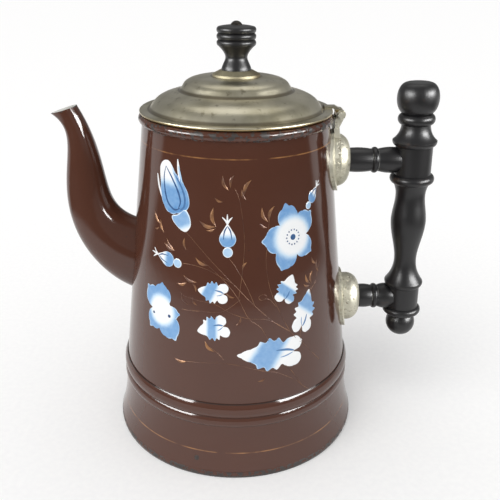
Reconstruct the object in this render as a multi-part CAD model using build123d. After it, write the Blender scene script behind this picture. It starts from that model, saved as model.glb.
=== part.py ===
from build123d import *
import os
from math import cos, pi, radians, sin, tan

# Enamelled coffee pot with a hinged pewter lid and a turned wooden handle.
# Millimetres. The pot's axis is Z and the table is Z = 0. The handle is on the +X side,
# the spout on the -X side, and the lid hinge above the handle.

# Sheet steel body
SHEET = 1.0                   # enamelled sheet thickness
WALL_FOOT_RADIUS = 69.0       # outside of the wall where the base band grips it
WALL_TOP_RADIUS = 52.4        # outside of the wall under the rim bead
WALL_HEIGHT = 143.0           # from the top of the base band to the underside of the rim bead
RIM_BEAD_RADIUS = 2.65        # rolled edge, outside
RIM_BEAD_INSET = 0.6          # bead centre inside the wall's outer face
RIM_WIRE_RADIUS = 1.45
WIRE_CLEARANCE = 0.05

# Base band, its two pressed rings and the foot
BAND_HEIGHT = 46.5
LAP_LENGTH = 13.5             # how far the wall goes down inside the band
BAND_LAND = 0.5               # flat top edge of the band
UPPER_RING_HEIGHT = 8.7
UPPER_RING_PROUD = 2.1        # rings, notch and flare top stand out from the wall's foot
RING_NOTCH_PROUD = 1.1
LOWER_RING_HEIGHT = 5.6
LOWER_RING_PROUD = 2.2
FLARE_TOP_PROUD = 1.6
FLARE_BOW = 1.3               # how far the flare is hollow from a straight line
FOOT_RADIUS = 75.5
FOOT_HEM_HEIGHT = 4.2
FOOT_HEM_THICKNESS = 2.4
BOTTOM_RIM_HEIGHT = 5.0       # turned-up edge of the flat bottom
BOTTOM_FIT = 0.05

# Spout: section centres, depths and widths from the root to the mouth. Rises are from the root.
SPOUT_SHEET = 1.1
SPOUT_ROOT = 46.0             # distance of the first section from the pot's axis, inside the wall
SPOUT_ROOT_HEIGHT = 106.0
SPOUT_ROOT_DEPTH = 44.0
SPOUT_ROOT_WIDTH = 32.0
SPOUT_KNEE = 73.0
SPOUT_KNEE_RISE = 10.3
SPOUT_KNEE_DEPTH = 38.6
SPOUT_KNEE_WIDTH = 28.0
SPOUT_BEND = 85.6
SPOUT_BEND_RISE = 32.5
SPOUT_BEND_DEPTH = 28.4
SPOUT_BEND_WIDTH = 23.0
SPOUT_NECK = 87.5
SPOUT_NECK_RISE = 62.3
SPOUT_NECK_DEPTH = 18.4
SPOUT_NECK_WIDTH = 17.6
SPOUT_MOUTH = 96.2
SPOUT_MOUTH_RISE = 89.1
SPOUT_MOUTH_DEPTH = 15.4
SPOUT_MOUTH_WIDTH = 14.4
STRAINER_HOLE = 3.6
STRAINER_PITCH = 6.2
STRAINER_HALF_HEIGHT = 17.0
STRAINER_HALF_WIDTH = 10.0

# Lid
LID_SHEET = 1.2
LID_SEAT_GAP = 0.35           # the flange hangs this far above the bead
LID_FLANGE_OVERHANG = 0.7     # bead stands out past the flange
LID_FLANGE_THICKNESS = 1.6
LID_FLANGE_WIDTH = 5.35       # flat ring outside the dome
LID_LOWER_TIER_RISE = 9.9
LID_LOWER_TIER_WIDTH = 17.0
LID_UPPER_TIER_RISE = 7.3
COLLAR_CLEARANCE = 0.8        # round the inside of the bead
COLLAR_DEPTH = 7.0
COLLAR_THICKNESS = 1.2

# Lid knob
KNOB_PLATE_RADIUS = 13.4
KNOB_PLATE_HEIGHT = 3.2
KNOB_FOOT_RADIUS = 8.2
KNOB_NECK_RADIUS = 6.0
KNOB_NECK_RISE = 6.4
KNOB_HEAD_RISE = 12.4
KNOB_HEAD_RADIUS = 10.7
KNOB_GROOVE_RADIUS = 9.7
KNOB_RING_HEIGHT = 3.35
KNOB_RING_COUNT = 3
KNOB_CROWN = 0.9
KNOB_BOLT_RADIUS = 1.6
KNOB_BOLT_HEAD_RADIUS = 3.2
KNOB_BOLT_HEAD_HEIGHT = 2.0
BOLT_CLEARANCE = 0.1
NUT_CLEARANCE = 0.05
WASHER_RADIUS = 5.0
WASHER_THICKNESS = 0.8
NUT_WIDTH = 6.5
NUT_HEIGHT = 2.6
BOLT_END = 1.0

# Hinge
HINGE_OFFSET = 3.9            # pin axis outside the rim bead
HINGE_DROP = 1.4              # pin axis below the flange's underside
KNUCKLE_RADIUS = 2.5
KNUCKLE_WIDTH = 6.0
EAR_THICKNESS = 2.4
HINGE_SIDE_GAP = 0.3
HINGE_PIN_RADIUS = 1.2
HINGE_PIN_HEAD = 1.9
HINGE_PIN_HEAD_LENGTH = 1.0
HINGE_PIN_CLEARANCE = 0.05
LEAF_THICKNESS = 1.2
LEAF_LAP = 4.2                # how far the leaf lies on the flange
STEM_THICKNESS = 2.6
STEM_GAP = 0.6                # stem clear of the rim bead

# Cast sockets that hold the handle, each on a curved plate
MOUNT_PLATE_THICKNESS = 1.8
UPPER_MOUNT_DROP = 25.35      # socket centre below the centre of the rim bead
UPPER_MOUNT_STAND = 12.3      # socket face out past the top of the wall
UPPER_MOUNT_RADIUS = 15.2
UPPER_PLATE_HALF_HEIGHT = 17.4
UPPER_PLATE_HALF_WIDTH = 21.0
LOWER_MOUNT_RISE = 32.1       # socket centre above the base band
LOWER_MOUNT_STAND = 7.4       # socket face out past the foot of the wall
LOWER_MOUNT_RADIUS = 14.8
LOWER_PLATE_HALF_HEIGHT = 18.2
LOWER_PLATE_HALF_WIDTH = 20.0
SOCKET_WALL = 1.5
SOCKET_DEPTH = 6.5
SOCKET_FIT = 0.05
RIVET_RADIUS = 1.6
RIVET_HEAD_RADIUS = 3.4
RIVET_HEAD_HEIGHT = 1.2
RIVET_FIT = 0.05
RIVET_SPREAD = 11.5
RIVET_GRIP = 3.0              # length of shank past the wall, inside the casting
SOCKET_PIN_RADIUS = 1.0
SOCKET_PIN_BITE = 4.0         # how far the pin goes into the arm

# Wooden arms, from the socket to the spindle
UPPER_ARM_RADIUS = 6.8
UPPER_ARM_RING_OFFSET = 15.3  # ring centre from the socket face
LOWER_ARM_RADIUS = 7.1
LOWER_ARM_RING_OFFSET = 10.4
ARM_SWELL = 0.6
ARM_RING_SWELL = 0.7
ARM_RING_LENGTH = 3.6
ARM_GROOVE = 0.4
ARM_TENON_RADIUS = 4.5
TENON_PAST_AXIS = 3.0
TENON_FIT = 0.05

# Turned spindle, a stack of turnings above and below the two arms
SPINDLE_STAND = 27.6          # spindle axis at half height, out past the lower socket's face
SPINDLE_LEAN = 1.6            # degrees, the foot stands out further than the top
BLOCK_RADIUS = 10.6
BLOCK_RISE = 8.6
BLOCK_DROP = 8.0
BELL_RADIUS = 12.6
BELL_LIP = 3.2
BELL_HEIGHT = 9.0
COLLAR_NECK_RADIUS = 8.2
COLLAR_RING_RADIUS = 10.5
COLLAR_RING_HEIGHT = 6.4
FINIAL_RADIUS = 11.7
FINIAL_HEIGHT = 17.2
FINIAL_TOP_RADIUS = 8.0
GRIP_RING_RADIUS = 12.8
GRIP_RING_HEIGHT = 5.6
GRIP_NECK_RADIUS = 8.8
GRIP_NECK_DROP = 5.0
GRIP_SWELL_RADIUS = 10.3
GRIP_SWELL_DROP = 17.5
GRIP_WAIST_RADIUS = 6.7
GRIP_WAIST_RISE = 12.5
GRIP_FLARE_RADIUS = 11.6
FOOT_BLOCK_RADIUS = 9.9
FOOT_BLOCK_RISE = 6.0
FOOT_GROOVE_HEIGHT = 1.8
FLARE_LIP = 3.4
FOOT_BLOCK_DROP = 6.2
FOOT_RING_RADIUS = 11.7
FOOT_RING_HEIGHT = 5.0
DROP_NECK_RADIUS = 7.3
DROP_NECK_DROP = 1.8
DROP_RADIUS = 9.0
DROP_LENGTH = 13.0
DROP_TIP_RADIUS = 4.5

# Heights and places worked out from the sizes above
UPPER_RING_RADIUS = WALL_FOOT_RADIUS + UPPER_RING_PROUD
RING_NOTCH_RADIUS = WALL_FOOT_RADIUS + RING_NOTCH_PROUD
LOWER_RING_RADIUS = WALL_FOOT_RADIUS + LOWER_RING_PROUD
FLARE_TOP_RADIUS = WALL_FOOT_RADIUS + FLARE_TOP_PROUD
RIM_HEIGHT = BAND_HEIGHT + WALL_HEIGHT + RIM_BEAD_RADIUS
RIM_CENTRE_RADIUS = WALL_TOP_RADIUS - RIM_BEAD_INSET
RIM_OUTER_RADIUS = RIM_CENTRE_RADIUS + RIM_BEAD_RADIUS
WALL_SLOPE = (WALL_FOOT_RADIUS - WALL_TOP_RADIUS) / (RIM_HEIGHT - BAND_HEIGHT)
FLANGE_UNDERSIDE = RIM_HEIGHT + RIM_BEAD_RADIUS + LID_SEAT_GAP
FLANGE_TOP = FLANGE_UNDERSIDE + LID_FLANGE_THICKNESS
FLANGE_RADIUS = RIM_OUTER_RADIUS - LID_FLANGE_OVERHANG
LID_DOME_FOOT_RADIUS = FLANGE_RADIUS - LID_FLANGE_WIDTH
LID_STEP_RADIUS = LID_DOME_FOOT_RADIUS - LID_LOWER_TIER_WIDTH
COLLAR_RADIUS = RIM_CENTRE_RADIUS - RIM_BEAD_RADIUS - COLLAR_CLEARANCE
STEP_HEIGHT = FLANGE_TOP + LID_LOWER_TIER_RISE
CROWN_HEIGHT = STEP_HEIGHT + LID_UPPER_TIER_RISE
HINGE_X = RIM_OUTER_RADIUS + HINGE_OFFSET
HINGE_Z = FLANGE_UNDERSIDE - HINGE_DROP
EAR_INNER = KNUCKLE_WIDTH / 2 + HINGE_SIDE_GAP
EAR_OUTER = EAR_INNER + EAR_THICKNESS
KNOB_FOOT_HEIGHT = CROWN_HEIGHT + KNOB_PLATE_HEIGHT
KNOB_TOP = KNOB_FOOT_HEIGHT + KNOB_HEAD_RISE + KNOB_RING_HEIGHT * KNOB_RING_COUNT
UPPER_MOUNT_HEIGHT = RIM_HEIGHT - UPPER_MOUNT_DROP
UPPER_MOUNT_REACH = WALL_TOP_RADIUS + UPPER_MOUNT_STAND
LOWER_MOUNT_HEIGHT = BAND_HEIGHT + LOWER_MOUNT_RISE
LOWER_MOUNT_REACH = WALL_FOOT_RADIUS + LOWER_MOUNT_STAND
SPINDLE_OFFSET = LOWER_MOUNT_REACH + SPINDLE_STAND
SPINDLE_MIDDLE = (UPPER_MOUNT_HEIGHT + LOWER_MOUNT_HEIGHT) / 2


def wall_radius(height):
    """Outside radius of the tapered wall at a height above the base band's top."""
    return WALL_FOOT_RADIUS - WALL_SLOPE * (height - BAND_HEIGHT)


def turned(*runs):
    """Solid of revolution about Z. A run is a list of (radius, height) points: two are a straight
    line, three an arc and more one smooth curve. A straight line closes the outline."""
    edges = []
    for run in runs:
        if len(run) == 2:
            edges.append(Line(*run))
        elif len(run) == 3:
            edges.append(ThreePointArc(*run))
        else:
            edges.append(Spline(*run))
    start = runs[0][0]
    end = runs[-1][-1]
    if start != end:
        edges.append(Line(end, start))
    return revolve(Plane.XZ * make_face(edges), Axis.Z)


def cap_run(radius, foot, height):
    """Arc of a spherical cap, from its edge to its top on the axis."""
    sphere = (radius ** 2 + height ** 2) / (2 * height)
    middle = foot + height - sphere + (sphere ** 2 - radius ** 2 / 4) ** 0.5
    return [(radius, foot), (radius / 2, middle), (0, foot + height)]


def along_x(solid, height):
    """Lays a solid turned about Z along the X axis at a height: its Z becomes X."""
    return Pos(0, 0, height) * Rot(0, 90, 0) * solid


def slab(points, width):
    """Flat plate of a closed XZ outline, centred on the pot's middle plane."""
    outline = Plane.XZ * make_face(Polyline(*points, close=True))
    return extrude(outline, amount=width / 2, both=True)


def cross_pin(radius, length):
    """Round bar along Y through the hinge axis."""
    return Pos(HINGE_X, 0, HINGE_Z) * Rot(90, 0, 0) * Cylinder(radius, length)


def wall_envelope(proud=0.0):
    """Everything inside the wall's outer face, or inside a skin that stands proud of it."""
    foot = WALL_FOOT_RADIUS + proud
    top = WALL_TOP_RADIUS + proud
    return turned(
        [(0, BAND_HEIGHT), (foot, BAND_HEIGHT)],
        [(foot, BAND_HEIGHT), (top, RIM_HEIGHT)],
        [(top, RIM_HEIGHT), (0, RIM_HEIGHT)],
    )


# Body wall: tapered sheet with a wired rim, necked to a short cylinder inside the base band, and
# pierced behind the spout.
def strainer_places():
    """Y and Z of the holes behind the spout, in staggered rows inside an oval."""
    rows = int(STRAINER_HALF_HEIGHT / STRAINER_PITCH)
    places = []
    for row in range(-rows, rows + 1):
        rise = row * STRAINER_PITCH
        shift = STRAINER_PITCH / 2 if row % 2 else 0.0
        columns = int(STRAINER_HALF_WIDTH / STRAINER_PITCH) + 1
        for column in range(-columns, columns + 1):
            across = column * STRAINER_PITCH + shift
            if (rise / STRAINER_HALF_HEIGHT) ** 2 + (across / STRAINER_HALF_WIDTH) ** 2 <= 1.0:
                places.append((across, SPOUT_ROOT_HEIGHT + rise))
    return places


def rivet_heights(mount_height):
    return [mount_height - RIVET_SPREAD, mount_height + RIVET_SPREAD]


def make_body_wall():
    foot = BAND_HEIGHT - LAP_LENGTH
    inner_foot = WALL_FOOT_RADIUS - SHEET
    inner_top = WALL_TOP_RADIUS - SHEET
    shell = turned(
        [(WALL_FOOT_RADIUS, foot), (WALL_FOOT_RADIUS, BAND_HEIGHT)],
        [(WALL_FOOT_RADIUS, BAND_HEIGHT), (WALL_TOP_RADIUS, RIM_HEIGHT)],
        [(WALL_TOP_RADIUS, RIM_HEIGHT), (inner_top, RIM_HEIGHT)],
        [(inner_top, RIM_HEIGHT), (inner_foot, BAND_HEIGHT)],
        [(inner_foot, BAND_HEIGHT), (inner_foot, foot)],
    )
    bead = Pos(0, 0, RIM_HEIGHT) * Torus(RIM_CENTRE_RADIUS, RIM_BEAD_RADIUS)
    hollow = Pos(0, 0, RIM_HEIGHT) * Torus(RIM_CENTRE_RADIUS, RIM_WIRE_RADIUS + WIRE_CLEARANCE)
    wall = shell + bead - hollow
    for across, height in strainer_places():
        wall -= Pos(-SPOUT_ROOT, across, height) * Rot(0, -90, 0) * Cylinder(
            STRAINER_HOLE / 2, SPOUT_KNEE - SPOUT_ROOT, align=(Align.CENTER, Align.CENTER, Align.MIN)
        )
    for mount_height in (UPPER_MOUNT_HEIGHT, LOWER_MOUNT_HEIGHT):
        for height in rivet_heights(mount_height):
            wall -= rivet_bore(height)
    return wall


def make_rim_wire():
    return Pos(0, 0, RIM_HEIGHT) * Torus(RIM_CENTRE_RADIUS, RIM_WIRE_RADIUS)


# Base band: one pressing with two rings, a hollow flare and a folded hem that is the foot.
def make_base_band():
    ring_foot = BAND_HEIGHT - UPPER_RING_HEIGHT
    flare_top = ring_foot - LOWER_RING_HEIGHT
    flare_mid = (flare_top + FOOT_HEM_HEIGHT) / 2
    flare_mid_radius = (FLARE_TOP_RADIUS + FOOT_RADIUS) / 2 - FLARE_BOW
    lip = WALL_FOOT_RADIUS + BAND_LAND
    hem_inner = FOOT_RADIUS - FOOT_HEM_THICKNESS
    lap_foot = BAND_HEIGHT - LAP_LENGTH
    hem_round = FOOT_HEM_HEIGHT / 2
    return turned(
        [(WALL_FOOT_RADIUS, BAND_HEIGHT), (lip, BAND_HEIGHT)],
        [(lip, BAND_HEIGHT), (UPPER_RING_RADIUS, BAND_HEIGHT - UPPER_RING_HEIGHT / 2),
         (RING_NOTCH_RADIUS, ring_foot)],
        [(RING_NOTCH_RADIUS, ring_foot), (LOWER_RING_RADIUS, ring_foot - LOWER_RING_HEIGHT / 2),
         (FLARE_TOP_RADIUS, flare_top)],
        [(FLARE_TOP_RADIUS, flare_top), (flare_mid_radius, flare_mid),
         (FOOT_RADIUS - SHEET / 2, FOOT_HEM_HEIGHT)],
        [(FOOT_RADIUS - SHEET / 2, FOOT_HEM_HEIGHT), (FOOT_RADIUS, hem_round),
         (FOOT_RADIUS - SHEET / 2, 0)],
        [(FOOT_RADIUS - SHEET / 2, 0), (hem_inner, 0)],
        [(hem_inner, 0), (hem_inner, BOTTOM_RIM_HEIGHT)],
        [(hem_inner, BOTTOM_RIM_HEIGHT), (flare_mid_radius - SHEET, flare_mid),
         (WALL_FOOT_RADIUS, lap_foot)],
        [(WALL_FOOT_RADIUS, lap_foot), (WALL_FOOT_RADIUS, BAND_HEIGHT)],
    )


# Flat bottom, flush with the foot, with its edge turned up inside the hem.
def make_bottom_plate():
    rim = FOOT_RADIUS - FOOT_HEM_THICKNESS - BOTTOM_FIT
    return turned(
        [(0, 0), (rim, 0)],
        [(rim, 0), (rim, BOTTOM_RIM_HEIGHT)],
        [(rim, BOTTOM_RIM_HEIGHT), (rim - SHEET, BOTTOM_RIM_HEIGHT)],
        [(rim - SHEET, BOTTOM_RIM_HEIGHT), (rim - SHEET, SHEET)],
        [(rim - SHEET, SHEET), (0, SHEET)],
    )


# Spout: a tapered tube that leaves the wall, turns upwards and ends in a beaked mouth.
def spout_section(reach, height, tilt, depth, width, beak, inset):
    """Closed oval across the spout. Tilt is the angle of the spout's run above the horizontal,
    and beak narrows the oval towards its outer end."""
    run = (-cos(radians(tilt)), 0, sin(radians(tilt)))
    outward = (-sin(radians(tilt)), 0, -cos(radians(tilt)))
    half_depth = depth / 2 - inset
    half_width = width / 2 - inset
    points = []
    for step in range(12):
        turn = 2 * pi * step / 12
        narrow = 1 - beak * (1 + cos(turn)) / 2
        points.append((half_depth * cos(turn), half_width * sin(turn) * narrow))
    outline = Spline(*points, periodic=True)
    plane = Plane(origin=(-reach, 0, height), x_dir=outward, z_dir=run)
    return plane * make_face(outline)


def spout_solid(inset):
    root = SPOUT_ROOT_HEIGHT
    stations = [
        (SPOUT_ROOT, root, 12, SPOUT_ROOT_DEPTH, SPOUT_ROOT_WIDTH, 0.0),
        (SPOUT_KNEE, root + SPOUT_KNEE_RISE, 23, SPOUT_KNEE_DEPTH, SPOUT_KNEE_WIDTH, 0.0),
        (SPOUT_BEND, root + SPOUT_BEND_RISE, 56, SPOUT_BEND_DEPTH, SPOUT_BEND_WIDTH, 0.0),
        (SPOUT_NECK, root + SPOUT_NECK_RISE, 88, SPOUT_NECK_DEPTH, SPOUT_NECK_WIDTH, 0.1),
        (SPOUT_MOUTH, root + SPOUT_MOUTH_RISE, 72, SPOUT_MOUTH_DEPTH, SPOUT_MOUTH_WIDTH, 0.45),
    ]
    sections = [spout_section(*station, inset) for station in stations]
    return loft(sections)


def make_spout():
    return spout_solid(0.0) - spout_solid(SPOUT_SHEET) - wall_envelope()


# Cast sockets: a domed boss bored for the wooden arm, on a curved oval plate that hugs the wall.
# The upper one also carries the stem and the two ears of the lid hinge.
def rivet_bore(height):
    return along_x(
        Cylinder(RIVET_RADIUS + RIVET_FIT, wall_radius(height) + RIVET_GRIP,
                 align=(Align.CENTER, Align.CENTER, Align.MIN)),
        height,
    )


def bored_for_rivets(casting, mount_height):
    for height in rivet_heights(mount_height):
        casting = casting - rivet_bore(height)
    return casting


def make_plate(height, half_height, half_width):
    prism = extrude(Ellipse(half_height, half_width), amount=wall_radius(0))
    plate = (along_x(prism, height) & wall_envelope(MOUNT_PLATE_THICKNESS)) - wall_envelope()
    return bored_for_rivets(plate, height)


def socket_pin(height, reach, arm_radius, ease=0.0):
    """Short pin driven up through the underside of a socket into the arm."""
    top = height - arm_radius + SOCKET_PIN_BITE
    length = SOCKET_PIN_BITE + SOCKET_WALL
    pin = Cylinder(SOCKET_PIN_RADIUS + ease, length + ease,
                   align=(Align.CENTER, Align.CENTER, Align.MAX))
    return Pos(reach - SOCKET_DEPTH / 2, 0, top + ease) * pin


def make_boss(height, reach, boss_radius, arm_radius):
    mouth = arm_radius + SOCKET_WALL
    base = wall_radius(height) / 2
    brow = wall_radius(height) + (reach - wall_radius(height)) * 0.35
    shoulder = reach - (reach - brow) * 0.3
    boss = turned(
        [(0, base), (boss_radius, base)],
        [(boss_radius, base), (boss_radius, brow)],
        [(boss_radius, brow), ((boss_radius + mouth) / 2 + 1.0, shoulder), (mouth, reach)],
        [(mouth, reach), (0, reach)],
    )
    return along_x(boss, height)


def seated_socket(casting, height, reach, arm_radius):
    """Cuts a casting to the plate it sits on and bores it for the arm, its pin and the rivets."""
    casting = casting - wall_envelope(MOUNT_PLATE_THICKNESS)
    bore = Cylinder(arm_radius + SOCKET_FIT, SOCKET_DEPTH,
                    align=(Align.CENTER, Align.CENTER, Align.MAX))
    casting = casting - along_x(Pos(0, 0, reach) * bore, height)
    casting = bored_for_rivets(casting, height)
    return casting - socket_pin(height, reach, arm_radius, SOCKET_FIT)


def make_stem():
    """Strap from the upper boss to the hinge axis, rounded at its end."""
    foot = UPPER_MOUNT_HEIGHT + UPPER_MOUNT_RADIUS - STEM_THICKNESS * 2
    waist = RIM_HEIGHT - RIM_BEAD_RADIUS * 2
    inner = RIM_OUTER_RADIUS + STEM_GAP
    outer = inner + STEM_THICKNESS
    cheek = KNUCKLE_RADIUS * 0.9
    outline = Polyline(
        (wall_radius(foot) - STEM_THICKNESS, foot), (inner, waist),
        (inner, RIM_HEIGHT - RIM_BEAD_RADIUS / 2), (HINGE_X - cheek, HINGE_Z),
        (HINGE_X + cheek, HINGE_Z), (HINGE_X + cheek / 3, HINGE_Z - KNUCKLE_RADIUS * 1.5),
        (outer, waist), (outer + STEM_THICKNESS * 0.6, foot), close=True,
    )
    profile = make_face(outline) + Pos(HINGE_X, HINGE_Z) * Circle(KNUCKLE_RADIUS)
    return extrude(Plane.XZ * profile, amount=EAR_OUTER, both=True)


def make_upper_socket():
    boss = make_boss(UPPER_MOUNT_HEIGHT, UPPER_MOUNT_REACH, UPPER_MOUNT_RADIUS, UPPER_ARM_RADIUS)
    casting = seated_socket(boss + make_stem(), UPPER_MOUNT_HEIGHT, UPPER_MOUNT_REACH,
                            UPPER_ARM_RADIUS)
    fork = Box(KNUCKLE_RADIUS * 4, EAR_INNER * 2, (KNUCKLE_RADIUS + HINGE_SIDE_GAP) * 2)
    casting = casting - Pos(HINGE_X, 0, HINGE_Z) * fork
    return casting - cross_pin(HINGE_PIN_RADIUS + HINGE_PIN_CLEARANCE, EAR_OUTER * 3)


def make_lower_socket():
    boss = make_boss(LOWER_MOUNT_HEIGHT, LOWER_MOUNT_REACH, LOWER_MOUNT_RADIUS, LOWER_ARM_RADIUS)
    return seated_socket(boss, LOWER_MOUNT_HEIGHT, LOWER_MOUNT_REACH, LOWER_ARM_RADIUS)


def make_rivets(mount_height):
    """Two rivets through the wall, heads inside the pot."""
    rivets = []
    for height in rivet_heights(mount_height):
        inside = wall_radius(height) - SHEET - RIVET_HEAD_RADIUS * WALL_SLOPE
        inside -= inside - (inside ** 2 - RIVET_HEAD_RADIUS ** 2) ** 0.5
        shank_end = wall_radius(height) + RIVET_GRIP - RIVET_FIT
        rivet = turned(
            [(0, inside - RIVET_HEAD_HEIGHT), (RIVET_HEAD_RADIUS * 0.8, inside - RIVET_HEAD_HEIGHT * 0.7),
             (RIVET_HEAD_RADIUS, inside)],
            [(RIVET_HEAD_RADIUS, inside), (RIVET_RADIUS, inside)],
            [(RIVET_RADIUS, inside), (RIVET_RADIUS, shank_end)],
            [(RIVET_RADIUS, shank_end), (0, shank_end)],
        )
        rivets.append(along_x(rivet, height))
    return Compound(children=rivets)


# Wooden arms: dowels turned with one ring, coped against the spindle and tenoned into it.
def spindle_x(height):
    return SPINDLE_OFFSET - (height - SPINDLE_MIDDLE) * tan(radians(SPINDLE_LEAN))


def arm_solid(height, reach, radius, ring_offset, spindle):
    ring = reach + ring_offset
    axis = spindle_x(height)
    half_ring = ARM_RING_LENGTH / 2
    groove = radius - ARM_GROOVE
    near = (reach + ring - half_ring) / 2
    far = (ring + half_ring + axis - BLOCK_RADIUS) / 2
    dowel = turned(
        [(0, reach - SOCKET_DEPTH + SOCKET_FIT), (radius, reach - SOCKET_DEPTH + SOCKET_FIT)],
        [(radius, reach - SOCKET_DEPTH + SOCKET_FIT), (radius, reach)],
        [(radius, reach), (radius + ARM_SWELL / 2, near), (groove, ring - half_ring)],
        [(groove, ring - half_ring), (radius + ARM_RING_SWELL, ring), (groove, ring + half_ring)],
        [(groove, ring + half_ring), (radius + ARM_SWELL, far), (groove, axis - BLOCK_RADIUS / 2)],
        [(groove, axis - BLOCK_RADIUS / 2), (0, axis - BLOCK_RADIUS / 2)],
    )
    return along_x(dowel, height) - spindle


def tenon(height, ease=0.0):
    axis = spindle_x(height)
    length = BLOCK_RADIUS + TENON_PAST_AXIS
    peg = Cylinder(ARM_TENON_RADIUS + ease, length + ease,
                   align=(Align.CENTER, Align.CENTER, Align.MIN))
    return along_x(Pos(0, 0, axis - BLOCK_RADIUS) * peg, height)


def make_arm(height, reach, radius, ring_offset, spindle):
    dowel = arm_solid(height, reach, radius, ring_offset, spindle)
    return dowel + tenon(height) - socket_pin(height, reach, radius, SOCKET_FIT)


# Turned spindle: finial, collar, bell and block above; grip between; block, ring and drop below.
def spindle_blank():
    upper = UPPER_MOUNT_HEIGHT
    lower = LOWER_MOUNT_HEIGHT
    block_top = upper + BLOCK_RISE
    bell_edge = block_top + BELL_LIP
    bell_top = bell_edge + BELL_HEIGHT
    ring_top = bell_top + COLLAR_RING_HEIGHT
    top = ring_top + FINIAL_HEIGHT
    block_foot = upper - BLOCK_DROP
    grip_top = block_foot - GRIP_RING_HEIGHT
    neck = grip_top - GRIP_NECK_DROP
    swell = neck - GRIP_SWELL_DROP
    foot_block_top = lower + FOOT_BLOCK_RISE
    flare_foot = foot_block_top + FOOT_GROOVE_HEIGHT
    flare_edge = flare_foot + FLARE_LIP
    waist = flare_edge + GRIP_WAIST_RISE
    foot_block_foot = lower - FOOT_BLOCK_DROP
    foot_ring_foot = foot_block_foot - FOOT_RING_HEIGHT
    drop_neck = foot_ring_foot - DROP_NECK_DROP
    drop_foot = drop_neck - DROP_LENGTH
    blank = turned(
        [(0, top), (FINIAL_TOP_RADIUS * 0.7, top)],
        [(FINIAL_TOP_RADIUS * 0.7, top), (FINIAL_TOP_RADIUS, top - 0.5),
         (FINIAL_RADIUS, top - FINIAL_HEIGHT * 0.45), (COLLAR_NECK_RADIUS, ring_top)],
        [(COLLAR_NECK_RADIUS, ring_top), (COLLAR_RING_RADIUS, (ring_top + bell_top) / 2),
         (COLLAR_NECK_RADIUS, bell_top)],
        [(COLLAR_NECK_RADIUS, bell_top), (COLLAR_NECK_RADIUS + 1.2, bell_edge + BELL_HEIGHT * 0.45),
         (BELL_RADIUS, bell_edge)],
        [(BELL_RADIUS, bell_edge), (BELL_RADIUS - 0.5, block_top + BELL_LIP / 3),
         (BLOCK_RADIUS, block_top)],
        [(BLOCK_RADIUS, block_top), (BLOCK_RADIUS, block_foot)],
        [(BLOCK_RADIUS, block_foot), (GRIP_RING_RADIUS, block_foot - GRIP_RING_HEIGHT * 0.45),
         (GRIP_NECK_RADIUS + 1.6, grip_top)],
        [(GRIP_NECK_RADIUS + 1.6, grip_top), (GRIP_NECK_RADIUS, neck), (GRIP_SWELL_RADIUS, swell),
         (GRIP_WAIST_RADIUS, waist), (GRIP_FLARE_RADIUS, flare_edge)],
        [(GRIP_FLARE_RADIUS, flare_edge), (GRIP_FLARE_RADIUS - 0.4, flare_foot + FLARE_LIP / 3),
         (FOOT_BLOCK_RADIUS, flare_foot)],
        [(FOOT_BLOCK_RADIUS, flare_foot), (FOOT_BLOCK_RADIUS, foot_block_foot)],
        [(FOOT_BLOCK_RADIUS, foot_block_foot), (FOOT_RING_RADIUS, foot_block_foot - FOOT_RING_HEIGHT * 0.4),
         (DROP_NECK_RADIUS + 1.0, foot_ring_foot)],
        [(DROP_NECK_RADIUS + 1.0, foot_ring_foot), (DROP_NECK_RADIUS, drop_neck)],
        [(DROP_NECK_RADIUS, drop_neck), (DROP_RADIUS, drop_neck - DROP_LENGTH * 0.4),
         (DROP_TIP_RADIUS, drop_foot)],
        [(DROP_TIP_RADIUS, drop_foot), (0, drop_foot)],
    )
    lean = Pos(SPINDLE_OFFSET, 0, SPINDLE_MIDDLE) * Rot(0, -SPINDLE_LEAN, 0) * Pos(0, 0, -SPINDLE_MIDDLE)
    return lean * blank


# Lid: a two-tier spun dome with a flat flange, and a collar soldered under it that drops into
# the pot's mouth.
def dome_runs(inset, drop):
    """The dome's curve from the flange to the crown, moved inwards and down for its inside."""
    foot = LID_DOME_FOOT_RADIUS
    step = LID_STEP_RADIUS
    rise = LID_LOWER_TIER_RISE
    upper = LID_UPPER_TIER_RISE
    lower_tier = [(foot, FLANGE_TOP), (foot - 1.0, FLANGE_TOP + rise * 0.14),
                  (foot - 3.6, FLANGE_TOP + rise * 0.46), (foot - 8.2, FLANGE_TOP + rise * 0.74),
                  (foot - 13.4, FLANGE_TOP + rise * 0.90), (step, STEP_HEIGHT)]
    upper_tier = [(step, STEP_HEIGHT), (step - 1.2, STEP_HEIGHT + upper * 0.20),
                  (step - 2.6, STEP_HEIGHT + upper * 0.50), (step - 6.0, STEP_HEIGHT + upper * 0.80),
                  (step - 12.0, STEP_HEIGHT + upper * 0.96), (KNOB_PLATE_RADIUS, CROWN_HEIGHT)]
    return [[(r - inset, z - drop) for r, z in run] for run in (lower_tier, upper_tier)]


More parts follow.
